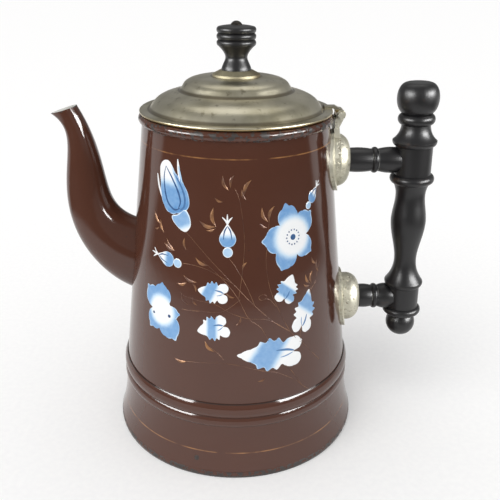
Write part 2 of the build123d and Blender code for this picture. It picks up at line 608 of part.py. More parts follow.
def make_lid_dome():
    edge = LID_FLANGE_THICKNESS / 2
    outer = turned(
        [(0, FLANGE_UNDERSIDE), (FLANGE_RADIUS - edge, FLANGE_UNDERSIDE)],
        [(FLANGE_RADIUS - edge, FLANGE_UNDERSIDE), (FLANGE_RADIUS, FLANGE_UNDERSIDE + edge),
         (FLANGE_RADIUS - edge, FLANGE_TOP)],
        [(FLANGE_RADIUS - edge, FLANGE_TOP), (LID_DOME_FOOT_RADIUS, FLANGE_TOP)],
        *dome_runs(0, 0),
        [(KNOB_PLATE_RADIUS, CROWN_HEIGHT), (0, CROWN_HEIGHT)],
    )
    inside_radius = LID_DOME_FOOT_RADIUS - LID_SHEET
    inside_crown = CROWN_HEIGHT - LID_SHEET
    runs = dome_runs(LID_SHEET, LID_SHEET)
    inner = turned(
        [(0, FLANGE_UNDERSIDE), (inside_radius, FLANGE_UNDERSIDE)],
        [(inside_radius, FLANGE_UNDERSIDE), runs[0][0]],
        *runs,
        [(KNOB_PLATE_RADIUS - LID_SHEET, inside_crown), (0, inside_crown)],
    )
    return outer - inner - bolt_bore()


def make_lid_collar():
    inner = COLLAR_RADIUS - COLLAR_THICKNESS
    foot = FLANGE_UNDERSIDE - COLLAR_DEPTH
    return turned(
        [(inner, FLANGE_UNDERSIDE), (COLLAR_RADIUS, FLANGE_UNDERSIDE)],
        [(COLLAR_RADIUS, FLANGE_UNDERSIDE), (COLLAR_RADIUS, foot)],
        [(COLLAR_RADIUS, foot), (inner, foot)],
        [(inner, foot), (inner, FLANGE_UNDERSIDE)],
    )


# Hinge leaf: a strap soldered on the flange that curls into the knuckle between the ears.
def make_hinge_leaf():
    lap_end = FLANGE_RADIUS - LID_FLANGE_THICKNESS / 2
    bend = FLANGE_RADIUS + HINGE_SIDE_GAP
    strap = slab(
        [(lap_end - LEAF_LAP, FLANGE_TOP), (bend, FLANGE_TOP), (HINGE_X - KNUCKLE_RADIUS * 0.7, HINGE_Z),
         (HINGE_X, HINGE_Z), (HINGE_X, HINGE_Z + KNUCKLE_RADIUS),
         (bend + LEAF_THICKNESS, FLANGE_TOP + LEAF_THICKNESS),
         (lap_end - LEAF_LAP, FLANGE_TOP + LEAF_THICKNESS)],
        KNUCKLE_WIDTH,
    )
    leaf = strap + cross_pin(KNUCKLE_RADIUS, KNUCKLE_WIDTH)
    return leaf - cross_pin(HINGE_PIN_RADIUS + HINGE_PIN_CLEARANCE, KNUCKLE_WIDTH * 2)


def make_hinge_pin():
    pin = cross_pin(HINGE_PIN_RADIUS, EAR_OUTER * 2)
    for side in (-1, 1):
        shift = side * (EAR_OUTER + HINGE_PIN_HEAD_LENGTH / 2)
        pin += Pos(0, shift, 0) * cross_pin(HINGE_PIN_HEAD, HINGE_PIN_HEAD_LENGTH)
    return pin


# Knob: pewter plate, turned wooden knob, and the bolt that holds them to the dome.
def bolt_bore():
    return Cylinder(KNOB_BOLT_RADIUS + BOLT_CLEARANCE, KNOB_TOP * 3)


def make_knob_plate():
    skirt = KNOB_PLATE_HEIGHT * 0.35
    plate = turned(
        [(0, CROWN_HEIGHT), (KNOB_PLATE_RADIUS, CROWN_HEIGHT)],
        [(KNOB_PLATE_RADIUS, CROWN_HEIGHT), (KNOB_PLATE_RADIUS - 0.4, CROWN_HEIGHT + skirt)],
        [(KNOB_PLATE_RADIUS - 0.4, CROWN_HEIGHT + skirt), (KNOB_FOOT_RADIUS + 0.8, KNOB_FOOT_HEIGHT)],
        [(KNOB_FOOT_RADIUS + 0.8, KNOB_FOOT_HEIGHT), (0, KNOB_FOOT_HEIGHT)],
    )
    return plate - bolt_bore()


def make_lid_knob():
    neck = KNOB_FOOT_HEIGHT + KNOB_NECK_RISE
    head = KNOB_FOOT_HEIGHT + KNOB_HEAD_RISE
    rings = []
    for ring in range(KNOB_RING_COUNT):
        foot = head + ring * KNOB_RING_HEIGHT
        rings.append([(KNOB_GROOVE_RADIUS, foot), (KNOB_HEAD_RADIUS, foot + KNOB_RING_HEIGHT / 2),
                      (KNOB_GROOVE_RADIUS, foot + KNOB_RING_HEIGHT)])
    knob = turned(
        [(0, KNOB_FOOT_HEIGHT), (KNOB_FOOT_RADIUS, KNOB_FOOT_HEIGHT)],
        [(KNOB_FOOT_RADIUS, KNOB_FOOT_HEIGHT), (KNOB_NECK_RADIUS + 0.7, neck - KNOB_NECK_RISE * 0.35),
         (KNOB_NECK_RADIUS, neck), (KNOB_NECK_RADIUS + 1.2, neck + KNOB_NECK_RISE * 0.5),
         (KNOB_GROOVE_RADIUS, head)],
        *rings,
        [(KNOB_GROOVE_RADIUS, KNOB_TOP), (KNOB_BOLT_HEAD_RADIUS * 2, KNOB_TOP + KNOB_CROWN * 0.7),
         (KNOB_BOLT_HEAD_RADIUS, KNOB_TOP + KNOB_CROWN)],
        [(KNOB_BOLT_HEAD_RADIUS, KNOB_TOP + KNOB_CROWN), (0, KNOB_TOP + KNOB_CROWN)],
    )
    return knob - bolt_bore()


def make_knob_washer():
    top = CROWN_HEIGHT - LID_SHEET
    ring = Cylinder(WASHER_RADIUS, WASHER_THICKNESS, align=(Align.CENTER, Align.CENTER, Align.MAX))
    return Pos(0, 0, top) * ring - bolt_bore()


def make_knob_nut():
    top = CROWN_HEIGHT - LID_SHEET - WASHER_THICKNESS
    prism = extrude(RegularPolygon(NUT_WIDTH / 2, 6, major_radius=False), amount=-NUT_HEIGHT)
    bore = Cylinder(KNOB_BOLT_RADIUS + NUT_CLEARANCE, KNOB_TOP * 2)
    return Pos(0, 0, top) * prism - bore


def make_knob_bolt():
    seat = KNOB_TOP + KNOB_CROWN
    end = CROWN_HEIGHT - LID_SHEET - WASHER_THICKNESS - NUT_HEIGHT - BOLT_END
    return turned(
        [(0, end), (KNOB_BOLT_RADIUS, end)],
        [(KNOB_BOLT_RADIUS, end), (KNOB_BOLT_RADIUS, seat)],
        [(KNOB_BOLT_RADIUS, seat), (KNOB_BOLT_HEAD_RADIUS, seat)],
        cap_run(KNOB_BOLT_HEAD_RADIUS, seat, KNOB_BOLT_HEAD_HEIGHT),
    )


blank = spindle_blank()
spindle = blank
for arm_height in (UPPER_MOUNT_HEIGHT, LOWER_MOUNT_HEIGHT):
    spindle -= tenon(arm_height, TENON_FIT)

parts = {
    "body_wall": make_body_wall(),
    "rim_wire": make_rim_wire(),
    "base_band": make_base_band(),
    "bottom_plate": make_bottom_plate(),
    "spout": make_spout(),
    "upper_plate": make_plate(UPPER_MOUNT_HEIGHT, UPPER_PLATE_HALF_HEIGHT, UPPER_PLATE_HALF_WIDTH),
    "lower_plate": make_plate(LOWER_MOUNT_HEIGHT, LOWER_PLATE_HALF_HEIGHT, LOWER_PLATE_HALF_WIDTH),
    "upper_socket": make_upper_socket(),
    "lower_socket": make_lower_socket(),
    "upper_rivets": make_rivets(UPPER_MOUNT_HEIGHT),
    "lower_rivets": make_rivets(LOWER_MOUNT_HEIGHT),
    "upper_arm": make_arm(UPPER_MOUNT_HEIGHT, UPPER_MOUNT_REACH, UPPER_ARM_RADIUS,
                          UPPER_ARM_RING_OFFSET, blank),
    "lower_arm": make_arm(LOWER_MOUNT_HEIGHT, LOWER_MOUNT_REACH, LOWER_ARM_RADIUS,
                          LOWER_ARM_RING_OFFSET, blank),
    "upper_socket_pin": socket_pin(UPPER_MOUNT_HEIGHT, UPPER_MOUNT_REACH, UPPER_ARM_RADIUS),
    "lower_socket_pin": socket_pin(LOWER_MOUNT_HEIGHT, LOWER_MOUNT_REACH, LOWER_ARM_RADIUS),
    "handle_spindle": spindle,
    "hinge_pin": make_hinge_pin(),
    "lid_dome": make_lid_dome(),
    "lid_collar": make_lid_collar(),
    "hinge_leaf": make_hinge_leaf(),
    "knob_plate": make_knob_plate(),
    "lid_knob": make_lid_knob(),
    "knob_bolt": make_knob_bolt(),
    "knob_washer": make_knob_washer(),
    "knob_nut": make_knob_nut(),
}

os.makedirs("parts", exist_ok=True)
for name, solid in parts.items():
    export_step(solid, os.path.join("parts", name + ".step"))
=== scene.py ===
from math import cos, exp, pi, radians, sin, sqrt

import bpy
from mathutils import Matrix, Vector


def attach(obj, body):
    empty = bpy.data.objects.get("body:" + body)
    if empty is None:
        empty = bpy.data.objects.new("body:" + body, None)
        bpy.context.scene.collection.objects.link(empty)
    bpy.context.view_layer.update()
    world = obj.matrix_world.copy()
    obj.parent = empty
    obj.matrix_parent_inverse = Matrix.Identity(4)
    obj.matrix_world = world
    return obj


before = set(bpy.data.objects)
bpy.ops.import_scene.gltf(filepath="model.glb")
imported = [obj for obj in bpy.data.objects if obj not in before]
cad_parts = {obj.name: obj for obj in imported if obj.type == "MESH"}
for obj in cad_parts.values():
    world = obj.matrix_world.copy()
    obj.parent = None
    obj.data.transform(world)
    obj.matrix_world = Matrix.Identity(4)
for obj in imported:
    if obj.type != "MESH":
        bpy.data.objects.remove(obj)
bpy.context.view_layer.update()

# Body wall: sheet steel in brown enamel, white inside. The enamel has chipped off the crest of the
# rolled rim down to dark iron, and a worn gold pinstripe runs round under the rim.
BROWN = (0.087, 0.033, 0.0205, 1.0)
BROWN_DEEP = (0.074, 0.028, 0.0175, 1.0)
WHITE_ENAMEL = (0.78, 0.78, 0.74, 1.0)
IRON = (0.034, 0.026, 0.023, 1.0)
GOLD = (0.42, 0.20, 0.075, 1.0)
RIM_HEIGHT = 0.19215
RIM_BEAD = 0.00265
RIM_STRIPE_HEIGHT = 0.1812
STRIPE_HALF_WIDTH = 0.0003
ENAMEL_ROUGHNESS = 0.11
BARE_ROUGHNESS = 0.45
CHIP_BLUR = 0.0003


def add(tree, kind, inputs=None, **settings):
    """One node. Settings are its properties; inputs are values or sockets, by name or number."""
    made = tree.nodes.new(kind)
    for name, value in settings.items():
        setattr(made, name, value)
    for key, value in (inputs or {}).items():
        if isinstance(value, bpy.types.NodeSocket):
            tree.links.new(value, made.inputs[key])
        else:
            made.inputs[key].default_value = value
    return made


def maths(tree, operation, *values):
    return add(tree, "ShaderNodeMath", dict(enumerate(values)), operation=operation).outputs[0]


def fade(tree, value, low, high):
    """0 up to low and 1 from high on, smooth between. With low above high it is turned round."""
    return add(tree, "ShaderNodeMapRange", {0: value, 1: low, 2: high},
               interpolation_type="SMOOTHSTEP").outputs[0]


def line_at(tree, value, centre, half_width):
    """1 on a narrow line where the value is near the centre."""
    away = maths(tree, "ABSOLUTE", maths(tree, "SUBTRACT", value, centre))
    return fade(tree, away, half_width * 1.4, half_width * 0.6)


def place(tree):
    """Object coordinates X, Y and Z."""
    point = add(tree, "ShaderNodeTexCoord").outputs["Object"]
    return add(tree, "ShaderNodeSeparateXYZ", {0: point}).outputs


def radius(tree, across, along):
    """Distance from an axis, from the two coordinates across it."""
    squares = maths(tree, "ADD", maths(tree, "MULTIPLY", across, across),
                    maths(tree, "MULTIPLY", along, along))
    return maths(tree, "SQRT", squares)


def noise(tree, scale, detail=4.0, stretch=(1.0, 1.0, 1.0)):
    point = add(tree, "ShaderNodeTexCoord").outputs["Object"]
    mapped = add(tree, "ShaderNodeMapping", {"Vector": point, "Scale": stretch}).outputs[0]
    return add(tree, "ShaderNodeTexNoise",
               {"Vector": mapped, "Scale": scale, "Detail": detail}).outputs[0]


def blend(tree, factor, first, second):
    return add(tree, "ShaderNodeMix", {0: factor, 6: first, 7: second},
               data_type="RGBA").outputs[2]


def surface(name, metallic, roughness):
    """A new material with its node tree and shader."""
    made = bpy.data.materials.new(name)
    made.use_nodes = True
    shader = made.node_tree.nodes["Principled BSDF"]
    shader.inputs["Metallic"].default_value = metallic
    shader.inputs["Roughness"].default_value = roughness
    return made, made.node_tree, shader


def relief(tree, shader, height, depth):
    bump = add(tree, "ShaderNodeBump", {"Height": height, "Distance": depth})
    tree.links.new(bump.outputs[0], shader.inputs["Normal"])


def inwards(tree, x, y):
    """1 on faces that look towards an upright axis, 0 on faces that look away from it."""
    normal = add(tree, "ShaderNodeNewGeometry").outputs["Normal"]
    level = add(tree, "ShaderNodeCombineXYZ", {0: x, 1: y})
    facing = add(tree, "ShaderNodeVectorMath", {0: normal, 1: level.outputs[0]},
                 operation="DOT_PRODUCT").outputs["Value"]
    return fade(tree, facing, 0.001, -0.001)


def enamel(name):
    """Brown glass over steel, with the faint waves of a dipped coat and a few dark specks."""
    made, tree, shader = surface(name, 0.0, ENAMEL_ROUGHNESS)
    brown = blend(tree, noise(tree, 45.0), BROWN_DEEP, BROWN)
    specks = fade(tree, noise(tree, 620.0, 2.0), 0.74, 0.80)
    brown = blend(tree, specks, brown, IRON)
    relief(tree, shader, noise(tree, 130.0, 2.0), 0.00005)
    return made, tree, shader, brown


def chips(tree, shader, amount, patches, spread=210.0):
    """Where the enamel has come off inside a region, and the duller shine of what is under it."""
    broken = fade(tree, noise(tree, spread, 5.0), 0.60 - amount, 0.63 - amount)
    bare = maths(tree, "MULTIPLY", broken, patches)
    duller = BARE_ROUGHNESS - ENAMEL_ROUGHNESS
    shine = maths(tree, "MULTIPLY_ADD", bare, duller, ENAMEL_ROUGHNESS)
    tree.links.new(shine, shader.inputs["Roughness"])
    return bare


def worn_gold(tree, colour, line):
    left = maths(tree, "MULTIPLY", fade(tree, noise(tree, 85.0, 3.0), 0.34, 0.66), 0.75)
    return blend(tree, maths(tree, "MULTIPLY", line, left), colour, GOLD)


def dress(node, made):
    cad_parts[node].data.materials[0] = made


wall_enamel, tree, shader, colour = enamel("wall_enamel")
x, y, z = place(tree)
colour = worn_gold(tree, colour, line_at(tree, z, RIM_STRIPE_HEIGHT, STRIPE_HALF_WIDTH))
colour = blend(tree, inwards(tree, x, y), colour, WHITE_ENAMEL)
bead_foot = RIM_HEIGHT - RIM_BEAD
on_bead = fade(tree, z, bead_foot - CHIP_BLUR, bead_foot)
bare = chips(tree, shader, 0.07, on_bead, 340.0)
colour = blend(tree, bare, colour, IRON)
tree.links.new(colour, shader.inputs["Base Color"])
dress("body_wall", wall_enamel)

# Base band: one pressing in the same enamel with two rings, a hollow flare and a folded foot. Painted
# shade darkens its top seam and its two grooves, the foot's edge is chipped, and a second gold line
# runs low on the flare.
BAND_HEIGHT = 0.0465
# Painted shade: the heights of the top seam and the two grooves, each with how dark its line is drawn.
CREASE_SHADE = ((BAND_HEIGHT, 0.8), (0.0378, 0.35), (0.0322, 0.25))
GROOVE_HALF_WIDTH = 0.0004
FOOT_STRIPE_HEIGHT = 0.0152
FOOT_EDGE_HEIGHT = 0.0036
FOOT_BARE_HEIGHT = 0.0013
CHIP_PLACE = (-0.0226, -0.0694, 0.0102)
CHIP_RADIUS = 0.0017
CHIP_RAGGEDNESS = 0.0016

band_enamel, tree, shader, colour = enamel("band_enamel")
x, y, z = place(tree)
# Painted shade: a dark line along the seam and along each groove, standing in for the shade in these
# creases.
for height, darkening in CREASE_SHADE:
    dark = maths(tree, "MULTIPLY", line_at(tree, z, height, GROOVE_HALF_WIDTH), darkening)
    colour = blend(tree, dark, colour, IRON)
colour = worn_gold(tree, colour, line_at(tree, z, FOOT_STRIPE_HEIGHT, STRIPE_HALF_WIDTH))
here = add(tree, "ShaderNodeCombineXYZ", {0: x, 1: y, 2: z}).outputs[0]
away = add(tree, "ShaderNodeVectorMath", {0: here, 1: CHIP_PLACE}, operation="DISTANCE")
ragged = maths(tree, "MULTIPLY_ADD", noise(tree, 900.0), CHIP_RAGGEDNESS, away.outputs["Value"])
chip = fade(tree, ragged, CHIP_RADIUS * 1.5, CHIP_RADIUS * 1.2)
edge = maths(tree, "MAXIMUM", fade(tree, z, FOOT_EDGE_HEIGHT * 1.2, FOOT_EDGE_HEIGHT), chip)
worn_edge = maths(tree, "MAXIMUM", fade(tree, z, FOOT_BARE_HEIGHT * 1.3, FOOT_BARE_HEIGHT), chip)
bare = maths(tree, "MAXIMUM", chips(tree, shader, 0.12, edge, 420.0), worn_edge)
colour = blend(tree, bare, colour, IRON)
tree.links.new(colour, shader.inputs["Base Color"])
dress("base_band", band_enamel)

# Plain iron: the flat bottom, the wire in the rim, and the rivets, pins, washer and nut that hold
# the castings and the knob. Dark, with a bloom of brown rust.
RUST = (0.085, 0.038, 0.018, 1.0)

iron_skin, tree, shader = surface("iron_skin", 0.6, 0.52)
rusty = fade(tree, noise(tree, 160.0, 6.0), 0.48, 0.68)
tree.links.new(blend(tree, rusty, IRON, RUST), shader.inputs["Base Color"])
relief(tree, shader, noise(tree, 900.0, 3.0), 0.00006)
for name in ("bottom_plate", "rim_wire", "upper_rivets", "lower_rivets", "upper_socket_pin",
             "lower_socket_pin", "knob_washer", "knob_nut"):
    dress(name, iron_skin)

# Spout: the same brown enamel with a white lining, and a mouth whose thin edge has lost its
# enamel. The spout's axis leans outwards above the neck.
MOUTH_HEIGHT = 0.1951
MOUTH_REACH = 0.0962
NECK_HEIGHT = 0.1683
NECK_REACH = 0.0875
LINING_FROM = 0.150
LINING_FULL = 0.155
MOUTH_TILT = radians(72.0)
MOUTH_NORMAL = (-cos(MOUTH_TILT), 0.0, sin(MOUTH_TILT))
LIP_DEPTH = 0.0010

spout_enamel, tree, shader, colour = enamel("spout_enamel")
x, y, z = place(tree)
lean = (MOUTH_REACH - NECK_REACH) / (MOUTH_HEIGHT - NECK_HEIGHT)
above = maths(tree, "MAXIMUM", maths(tree, "SUBTRACT", z, NECK_HEIGHT), 0.0)
from_axis = maths(tree, "ADD", maths(tree, "MULTIPLY_ADD", above, lean, NECK_REACH), x)
lining = maths(tree, "MULTIPLY", inwards(tree, from_axis, y), fade(tree, z, LINING_FROM, LINING_FULL))
colour = blend(tree, lining, colour, WHITE_ENAMEL)
here = add(tree, "ShaderNodeCombineXYZ",
           {0: maths(tree, "ADD", x, MOUTH_REACH), 2: maths(tree, "SUBTRACT", z, MOUTH_HEIGHT)})
up_spout = add(tree, "ShaderNodeVectorMath", {0: here.outputs[0], 1: MOUTH_NORMAL},
               operation="DOT_PRODUCT").outputs["Value"]
lip = maths(tree, "MULTIPLY", fade(tree, up_spout, -LIP_DEPTH, -0.4 * LIP_DEPTH),
            maths(tree, "SUBTRACT", 1.0, lining))
bare = chips(tree, shader, 0.12, lip, 330.0)
colour = blend(tree, bare, colour, IRON)
tree.links.new(colour, shader.inputs["Base Color"])
dress("spout", spout_enamel)

# Lid, collar and hinge leaf: spun pewter, grey with a yellow cast, with fine turning lines, brown
# tarnish in the steps and a brassy edge under the flange.
PEWTER = (0.56, 0.525, 0.41, 1.0)
PEWTER_DULL = (0.35, 0.32, 0.22, 1.0)
TARNISH = (0.13, 0.105, 0.065, 1.0)
FLANGE_BRASS = (0.44, 0.31, 0.12, 1.0)
DOME_STEP_RADIUS = 0.0314
DOME_FOOT_RADIUS = 0.0484
KNOB_PLATE_RADIUS = 0.0134
SEAM_HALF_WIDTH = 0.0009
FLANGE_TOP = 0.19675
BRASS_FROM = 0.0004
BRASS_FULL = 0.0011


def pewter(name, polish, clean, dull):
    """Grey metal with cloudy tarnish, and a shine that varies in clouds of its own."""
    made, tree, shader = surface(name, 1.0, polish)
    clouds = fade(tree, noise(tree, 42.0, 6.0), 0.36, 0.68)
    colour = blend(tree, clouds, clean, dull)
    stains = fade(tree, noise(tree, 260.0, 5.0), 0.60, 0.74)
    colour = blend(tree, maths(tree, "MULTIPLY", stains, 0.55), colour, TARNISH)
    shine = maths(tree, "MULTIPLY_ADD", noise(tree, 75.0, 5.0), 0.22, polish - 0.1)
    tree.links.new(shine, shader.inputs["Roughness"])
    return made, tree, shader, colour


spun_pewter, tree, shader, colour = pewter("spun_pewter", 0.31, PEWTER, PEWTER_DULL)
x, y, z = place(tree)
out = radius(tree, x, y)
for seam in (DOME_STEP_RADIUS, DOME_FOOT_RADIUS, KNOB_PLATE_RADIUS):
    darkening = maths(tree, "MULTIPLY", line_at(tree, out, seam, SEAM_HALF_WIDTH), 0.75)
    colour = blend(tree, darkening, colour, TARNISH)
under = maths(tree, "MULTIPLY", fade(tree, z, FLANGE_TOP - BRASS_FROM, FLANGE_TOP - BRASS_FULL),
              fade(tree, out, DOME_FOOT_RADIUS, DOME_FOOT_RADIUS + 0.002))
colour = blend(tree, maths(tree, "MULTIPLY", under, 0.8), colour, FLANGE_BRASS)
tree.links.new(colour, shader.inputs["Base Color"])
turned_at = add(tree, "ShaderNodeCombineXYZ", {0: out, 2: z}).outputs[0]
rings = add(tree, "ShaderNodeTexNoise", {"Vector": turned_at, "Scale": 1500.0, "Detail": 2.0})
relief(tree, shader, rings.outputs[0], 0.00002)
for name in ("lid_dome", "lid_collar", "hinge_leaf"):
    dress(name, spun_pewter)

# Sockets, the oval plates behind them and the hinge pin: the same metal, cast, so it is duller and
# pitted all over, with dirt in the pits. The plate under the knob is smooth and the most tarnished.
CAST = (0.60, 0.58, 0.49, 1.0)
CAST_DULL = (0.42, 0.40, 0.31, 1.0)

cast_pewter, tree, shader, colour = pewter("cast_pewter", 0.46, CAST, CAST_DULL)
pits = fade(tree, noise(tree, 780.0, 3.0), 0.56, 0.68)
colour = blend(tree, maths(tree, "MULTIPLY", pits, 0.6), colour, TARNISH)
tree.links.new(colour, shader.inputs["Base Color"])
relief(tree, shader, maths(tree, "SUBTRACT", 1.0, pits), 0.00016)
for name in ("upper_plate", "lower_plate", "upper_socket", "lower_socket", "hinge_pin"):
    dress(name, cast_pewter)

plate_pewter, tree, shader, colour = pewter("plate_pewter", 0.55, PEWTER_DULL, TARNISH)
tree.links.new(colour, shader.inputs["Base Color"])
dress("knob_plate", plate_pewter)

# Wooden handle and knob: turned, stained black and waxed. The black has worn to brown where hands
# rub the proudest rings, and the arms have pale scratches at their rings.
BLACK_WOOD = (0.0095, 0.009, 0.010, 1.0)
WORN_WOOD = (0.050, 0.026, 0.016, 1.0)
SCRATCH = (0.17, 0.17, 0.165, 1.0)
SPINDLE_REACH = 0.104
SPINDLE_MIDDLE = 0.1227
SPINDLE_SLOPE = 0.0279
SPINDLE_CREST = 0.0112
ARMS = {"upper_arm": (0.1668, 0.0800), "lower_arm": (0.0786, 0.0868)}
ARM_CREST = 0.0072
RING_HALF_LENGTH = 0.0018
SCRATCH_HALF_WIDTH = 0.00024
KNOB_CREST = 0.0103
UPRIGHT_GRAIN = (1.0, 1.0, 0.07)
LEVEL_GRAIN = (0.07, 1.0, 1.0)


def black_wood(name, grain):
    made, tree, shader = surface(name, 0.0, 0.36)
    relief(tree, shader, noise(tree, 620.0, 5.0, grain), 0.00008)
    return made, tree, shader


def rubbed(tree, off_axis, crest):
    """Black with brown wear that starts at the crest radius, broken up by the grain."""
    high = fade(tree, off_axis, crest, crest + 0.0012)
    broken = fade(tree, noise(tree, 240.0, 6.0), 0.52, 0.74)
    return blend(tree, maths(tree, "MULTIPLY", high, broken), BLACK_WOOD, WORN_WOOD)


spindle_wood, tree, shader = black_wood("spindle_wood", UPRIGHT_GRAIN)
x, y, z = place(tree)
rise = maths(tree, "SUBTRACT", z, SPINDLE_MIDDLE)
from_axis = maths(tree, "SUBTRACT", maths(tree, "MULTIPLY_ADD", rise, SPINDLE_SLOPE, x),
                  SPINDLE_REACH)
colour = rubbed(tree, radius(tree, from_axis, y), SPINDLE_CREST)
tree.links.new(colour, shader.inputs["Base Color"])
dress("handle_spindle", spindle_wood)

for name, (height, ring) in ARMS.items():
    arm_wood, tree, shader = black_wood(name + "_wood", LEVEL_GRAIN)
    x, y, z = place(tree)
    above_axis = maths(tree, "SUBTRACT", z, height)
    colour = rubbed(tree, radius(tree, y, above_axis), ARM_CREST)
    scuffed = fade(tree, noise(tree, 260.0, 4.0), 0.46, 0.62)
    for side in (-1, 1):
        groove = line_at(tree, x, ring + side * RING_HALF_LENGTH, SCRATCH_HALF_WIDTH)
        colour = blend(tree, maths(tree, "MULTIPLY", groove, scuffed), colour, SCRATCH)
    tree.links.new(colour, shader.inputs["Base Color"])
    dress(name, arm_wood)

knob_wood, tree, shader = black_wood("knob_wood", UPRIGHT_GRAIN)
x, y, z = place(tree)
colour = rubbed(tree, radius(tree, x, y), KNOB_CREST)
tree.links.new(colour, shader.inputs["Base Color"])
dress("lid_knob", knob_wood)

# Knob bolt: its domed head stands on the knob, and is brass gone almost black, with a little yellow
# left where fingers touch it.
BRASS = (0.16, 0.125, 0.075, 1.0)
BRASS_DARK = (0.030, 0.026, 0.022, 1.0)

bolt_brass, tree, shader = surface("bolt_brass", 0.8, 0.42)
touched = fade(tree, noise(tree, 380.0), 0.50, 0.78)
tree.links.new(blend(tree, touched, BRASS_DARK, BRASS), shader.inputs["Base Color"])
relief(tree, shader, noise(tree, 800.0, 3.0), 0.00005)
dress("knob_bolt", bolt_brass)

# Painted flowers: opaque white and blue enamel on the front of the wall, thick enough to stand
# proud at its brush strokes. Each shape is drawn flat, then bent round the tapered wall.
FLAT_RADIUS = 0.060
WALL_FOOT_RADIUS = 0.069
WALL_SLOPE = 0.114
MM = 0.001
PAINT_RINGS = 12
PAINT_SUNK = -0.08
PATCH_LIFT = 0.12
SECOND_COAT_LIFT = 0.16
STROKE_LIFT = 0.17
TOP_TOUCH_LIFT = 0.2
OVER_PAINT = (0.20, 0.09)
SHADE_RAMP = (
    (0.0, (0.90, 0.915, 0.925, 1.0)),
    (0.30, (0.50, 0.69, 0.88, 1.0)),
    (0.60, (0.135, 0.32, 0.62, 1.0)),
    (1.0, (0.012, 0.045, 0.15, 1.0)),
)
WHITE, PALE, BLUE, DARK = 0.0, 0.36, 0.56, 0.9
FLOWER_ANGLE, FLOWER_HEIGHT = 30.4, 139.0


def smooth(low, high, value):
    share = min(1.0, max(0.0, (value - low) / (high - low)))
    return share * share * (3.0 - 2.0 * share)


def linked(name, data):
    """A new object in the scene, at the origin."""
    made = bpy.data.objects.new(name, data)
    bpy.context.scene.collection.objects.link(made)
    return made


def curve_part(before, start, end, after, steps):
    """Points of a smooth curve from start up to end, given the corners on either side."""
    points = []
    for step in range(steps):
        t = step / steps
        points.append(0.5 * (2 * start + (end - before) * t
                             + (2 * before - 5 * start + 4 * end - after) * t ** 2
                             + (3 * start - before - 3 * end + after) * t ** 3))
    return points


def rounded(corners, steps=5):
    """Closed curve through the corners, in order, as a list of points."""
    corners = [Vector(corner) for corner in corners]
    count = len(corners)
    points = []
    for index in range(count):
        points += curve_part(*(corners[(index + shift) % count] for shift in (-1, 0, 1, 2)), steps)
    return points


def drawn(corners, steps=7):
    """Open curve through the corners, in order, as a list of points."""
    corners = [Vector(corner) for corner in corners]
    padded = [corners[0], *corners, corners[-1]]
    points = []
    for index in range(len(corners) - 1):
        points += curve_part(*padded[index:index + 4], steps)
    return [*points, corners[-1]]


def mirrored(side, foot, tip):
    """Closed outline from one side's corners, with the same corners on the other side."""
    return rounded([foot, *side, tip, *[(-x, y) for x, y in reversed(side)]])


def spot(angle, height, turn):
    """Where a shape drawn in millimetres goes on the flat sheet. Turn 0 points it up the wall."""
    return (Matrix.Translation((FLAT_RADIUS * radians(angle), height * MM, 0.0))
            @ Matrix.Rotation(radians(turn), 4, "Z") @ Matrix.Scale(MM, 4))


class Painting:
    """Shapes gathered into one flat mesh: X runs round the wall, Y up it and Z out of it."""

    def __init__(self):
        self.points = []
        self.faces = []
        self.tones = []

    def patch(self, outline, where, tone, lift=PATCH_LIFT):
        """A filled shape. The tone rule gets a point and its share of the way to the edge."""
        outline = [Vector(point) for point in outline]
        centre = sum(outline, Vector((0.0, 0.0))) / len(outline)
        first = len(self.points)
        count = len(outline)
        self.points.append(where @ Vector((*centre, lift)))
        self.tones.append(tone(*centre, 0.0))
        for ring in range(1, PAINT_RINGS + 1):
            share = ring / PAINT_RINGS
            for point in outline:
                here = centre.lerp(point, share)
                height = lift + (PAINT_SUNK - lift) * share ** 10
                self.points.append(where @ Vector((*here, height)))
                self.tones.append(tone(*here, share))
        for index in range(count):
            after = (index + 1) % count
            self.faces.append((first, first + 1 + index, first + 1 + after))
            for ring in range(PAINT_RINGS - 1):
                inner = first + 1 + ring * count
                outer = inner + count
                self.faces.append((inner + index, outer + index, outer + after, inner + after))

    def stroke(self, corners, width, where, tone, over=False):
        """One pull of the brush, pointed at both ends, on the wall or over other paint."""
        lift, foot = OVER_PAINT if over else (STROKE_LIFT, PAINT_SUNK)
        line = drawn(corners)
        last = len(line) - 1
        first = len(self.points)
        for step, point in enumerate(line):
            run = line[min(step + 1, last)] - line[max(step - 1, 0)]
            left = Vector((-run.y, run.x)).normalized()
            half = width / 2 * max(0.15, sin(pi * step / last)) ** 0.6
            for side, height in ((1, foot), (0, lift), (-1, foot)):
                self.points.append(where @ Vector((*(point + left * half * side), height)))
                self.tones.append(tone)
        for step in range(last):
            for column in (0, 1):
                here = first + step * 3 + column
                self.faces.append((here, here + 1, here + 4, here + 3))

    def object(self, name):
        mesh = bpy.data.meshes.new(name)
        mesh.from_pydata(self.points, [], self.faces)
        mesh.attributes.new("tone", "FLOAT", "POINT").data.foreach_set("value", self.tones)
        return linked(name, mesh)


def node_group(name, sockets):
    """An empty node group with named inputs, and its own inputs and outputs."""
    tree = bpy.data.node_groups.new(name, "GeometryNodeTree")
    for label, kind in {"Geometry": "Geometry", **sockets}.items():
        tree.interface.new_socket(label, in_out="INPUT", socket_type="NodeSocket" + kind)
    tree.interface.new_socket("Geometry", in_out="OUTPUT", socket_type="NodeSocketGeometry")
    return tree, add(tree, "NodeGroupInput").outputs, add(tree, "NodeGroupOutput").inputs


